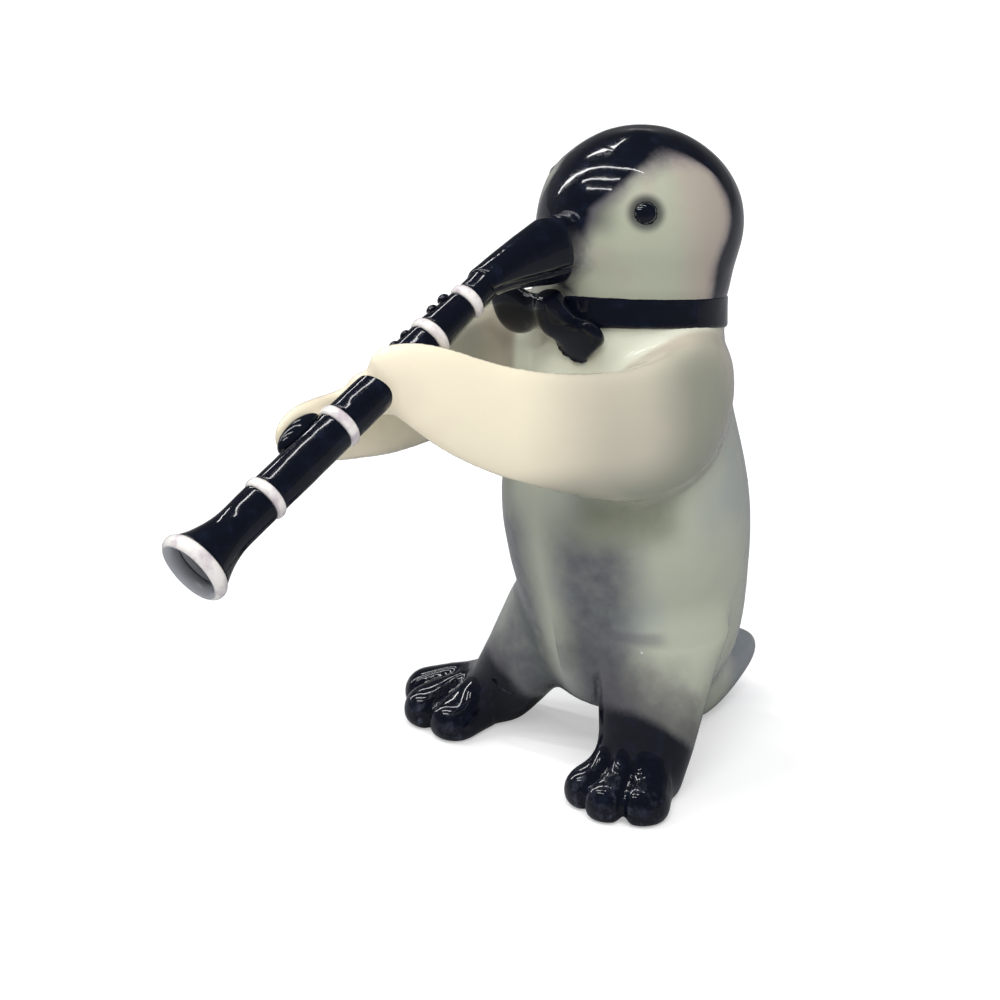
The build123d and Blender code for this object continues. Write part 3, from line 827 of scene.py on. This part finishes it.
# Feet, parted from the same skin at the ankles
for name, side, ankle, leg_way in (("left_foot", 1, left_ankle, left_leg_way),
                                   ("right_foot", -1, right_ankle, right_leg_way)):
    foot = twin(trunk, f"{name}_glazed")
    parted(foot, ankle - leg_way * ankle_drop, leg_way, near_ankle(side))
    kept_island(foot, lambda places: near_ankle(side)(places) & (places[:, 2] < sole_layer))
    settled(foot, foot_glaze, "black_glaze", name)
for side, ankle, leg_way in ((1, left_ankle, left_leg_way), (-1, right_ankle, right_leg_way)):
    parted(trunk, ankle - leg_way * ankle_drop, -leg_way, near_ankle(side))
settled(trunk, trunk_glaze, "grey_glaze", "body", "left_leg", "right_leg", "left_flipper", "right_flipper",
        "tail")


# Head with the bill, and the gape as a groove along the bill
def gape_groove(places):
    """How far each point sinks into the groove between the halves of the bill."""
    along = np.array(gape_tip - gape_root)
    along /= np.linalg.norm(along)
    across = np.array((0.0, -along[2], along[1]))
    height = (places - np.array(gape_root)) @ across
    ahead = np.clip((gape_start_y - places[:, 1]) / gape_fade, 0, 1)
    return -gape_depth * np.exp(-(height / gape_width) ** 2) * ahead


def eye_rims(places):
    """How far the skin stands up in a soft rim round each eye, or sinks just inside it."""
    height = np.zeros(len(places))
    for centre in (left_eye_centre, right_eye_centre):
        away = np.linalg.norm(places - np.array(centre), axis=1) / eye_rim_radius
        height += rim_height * (np.exp(-((away - 1.25) / 0.25) ** 2) - np.exp(-((away - 0.75) / 0.3) ** 2))
    return height


def behind_bill(places):
    """How fully each place lies behind the root of the bill and above its gape."""
    away = places - np.array(root_centre)
    ahead = away @ np.array(root_way)
    high = np.clip((places[:, 2] - gape_root.z) / root_fade, 0, 1)
    near = (away[:, 1] < root_span) & (np.abs(away[:, 0]) < root_span)
    return np.clip((root_ahead - ahead) / (root_ahead + root_behind), 0, 1) * high * near


head = copied("head_glazed", "head", "upper_bill")
joined_smoothly(head, head_voxel, head_round, calming_steps)
added(head, "lower_bill", "collar_band")
joined_smoothly(head, head_voxel, edge_round, head_steps)
pressed(head, "head", behind_bill)
smoothed_near(head, brow_centre, brow_reach, brow_steps)
parted(head, seam_centre, -seam_up)
shaped_by_hand(head)
moved_along_normals(head, gape_groove)
moved_along_normals(head, eye_rims)
settled(head, head_glaze, "head_glaze", "head", "upper_bill", "lower_bill")


# Small glazed pieces keep the form of their solids, with edges rounded by the glaze
def small_piece(node, material, slot, swell=0.0):
    piece = copied(f"{node}_glazed", node)
    remeshed(piece, small_voxel)
    smoothed(piece, small_steps)
    if swell:
        inflated(piece, swell)
    shaped_by_hand(piece)
    settled(piece, material, slot, node)


for node in ("left_eye", "right_eye", "mouthpiece", "barrel", "upper_joint", "lower_joint", "key_guard",
             "barrel_keys", "joint_keys"):
    small_piece(node, black_glaze, "black_glaze")
for node in ("ring_1", "ring_2", "ring_3", "ring_4"):
    small_piece(node, ring_glaze, "white_glaze")
small_piece("bell", bell_glaze, "black_glaze")
small_piece("bell_rim", rim_glaze, "white_glaze")
small_piece("collar_band", black_glaze, "black_glaze", swell=collar_swell)


def folds(places):
    """Soft folds that run out from the knot."""
    away = places - np.array(bow_centre)
    turn = np.arctan2(away[:, 2], np.abs(away[:, 0]))
    reach = np.clip((np.hypot(away[:, 0], away[:, 2]) - fold_start) / fold_run, 0, 1)
    return fold_depth * reach * np.cos(turn * fold_count * 2)


bow = copied("bow_glazed", "bow_knot", "bow_left_loop", "bow_right_loop")
joined_smoothly(bow, bow_voxel, bow_round, bow_steps)
moved_along_normals(bow, folds)
settled(bow, black_glaze, "black_glaze", "bow_knot", "bow_left_loop", "bow_right_loop")

# Camera at the photograph's angle, the lens in millimetres
lens_length = 153.25
view_azimuth = radians(44.0)
view_elevation = radians(22.0)
view_distance = 0.330
target = bird_axis + Vector((0, 0, 0.027))
towards_camera = Vector((sin(view_azimuth) * cos(view_elevation), -cos(view_azimuth) * cos(view_elevation),
                         sin(view_elevation)))
bpy.ops.object.camera_add(location=target + towards_camera * view_distance)
camera = bpy.context.object
camera.rotation_euler = towards_camera.to_track_quat("Z", "Y").to_euler()
camera.data.lens = lens_length
camera.data.shift_x = -0.127
camera.data.shift_y = -0.077
camera.data.clip_start = 0.01
bpy.context.scene.camera = camera
camera_right = Vector((cos(view_azimuth), sin(view_azimuth), 0))
camera_up = towards_camera.cross(camera_right)


# Lamps: parallel strips under a ceiling, whose thin streaks show in the glaze, and one broad soft box
def lamp(name, place, along, length, width, radiance):
    """A rectangular lamp that faces the bird, its long side turned along a direction."""
    way = place.normalized()
    bpy.ops.object.light_add(type="AREA", location=target + place)
    made = bpy.context.object
    made.name = name
    made.data.shape = "RECTANGLE"
    made.data.size = length
    made.data.size_y = width
    made.data.energy = radiance * pi * length * width
    long_side = (along - way * along.dot(way)).normalized()
    made.rotation_euler = Matrix((long_side, way.cross(long_side), way)).transposed().to_euler()
    return made


ceiling = 1.0
strip_width = 0.05
strip_radiance = 20.0
# Rows: place of the strip's middle on the ceiling, slope of its run, length
strips = ((-1.05, 0.29, 0.10, 0.5), (-0.74, -0.15, 0.21, 2.2), (-0.50, -0.48, 0.30, 0.9),
          (-0.45, -0.80, 0.30, 0.7))
for number, (x, y, slope, length) in enumerate(strips):
    place = Vector((x, y, 1)) * ceiling
    lamp(f"strip_{number}", place, Vector((1, slope, 0)), length, strip_width, strip_radiance)
box_distance = 1.2
box_side = 0.8
box_radiance = 6.0
front = camera_right * 0.1 + camera_up * 0.6 + towards_camera * 0.8
soft_box = lamp("soft_box", front * box_distance, camera_right, box_side, box_side, box_radiance)
soft_box.visible_glossy = False

# White surroundings: pure white to the camera, dimmer overhead and where they are mirrored
world = bpy.context.scene.world or bpy.data.worlds.new("surroundings")
bpy.context.scene.world = world
world.use_nodes = True
world.node_tree.nodes.clear()
sky = Recipe(world.node_tree)
height = split(sky, sky.put("TexCoord").outputs["Generated"])[2]
dimming = sky.rise(sky.sum("ABSOLUTE", height), 0.05, 0.45)
rays = sky.put("LightPath").outputs
strength = sky.sum("SUBTRACT", 0.50, sky.sum("MULTIPLY", dimming, 0.32))
mirrored = sky.sum("SUBTRACT", 1.0, sky.sum("MULTIPLY", rays["Is Glossy Ray"], 0.75))
strength = sky.sum("MULTIPLY", strength, mirrored)
strength = sky.sum("MAXIMUM", strength, rays["Is Camera Ray"])
background = sky.put("Background", {"Color": (1, 1, 1, 1), "Strength": strength})
sky.put("OutputWorld", {"Surface": background.outputs[0]})

# Floor: white, dimmer where it is mirrored, and it keeps the object's shadow
floor_half = 1.5
paper_scale = 900.0
paper_dark = (0.66, 0.66, 0.67, 1)
paper_light = (0.70, 0.70, 0.71, 1)
paper_mirrored = (0.02, 0.02, 0.03, 1)
paper_glow = 0.40
bpy.ops.mesh.primitive_plane_add(size=2 * floor_half, location=(0, 0, 0))
floor = bpy.context.object
floor.name = "floor"
paper = bpy.data.materials.new("white_paper")
paper.use_nodes = True
paper.node_tree.nodes.clear()
sheet = Recipe(paper.node_tree)
grain = sheet.noise(sheet.put("TexCoord").outputs["Object"], paper_scale, 3.0)
seen = sheet.put("LightPath").outputs
fibre = sheet.mix(grain, paper_dark, paper_light)
fibre = sheet.mix(sheet.sum("MULTIPLY", seen["Is Glossy Ray"], 0.7), fibre, paper_mirrored)
matt = sheet.put("BsdfDiffuse", {"Color": fibre})
glow_share = sheet.sum("MULTIPLY", seen["Is Camera Ray"], paper_glow)
glow = sheet.put("Emission", {"Color": (1, 1, 1, 1), "Strength": glow_share})
lit = sheet.put("AddShader", {0: matt.outputs[0], 1: glow.outputs[0]})
sheet.put("OutputMaterial", {"Surface": lit.outputs[0]})
floor.data.materials.append(paper)

bpy.context.scene.view_settings.view_transform = "Standard"
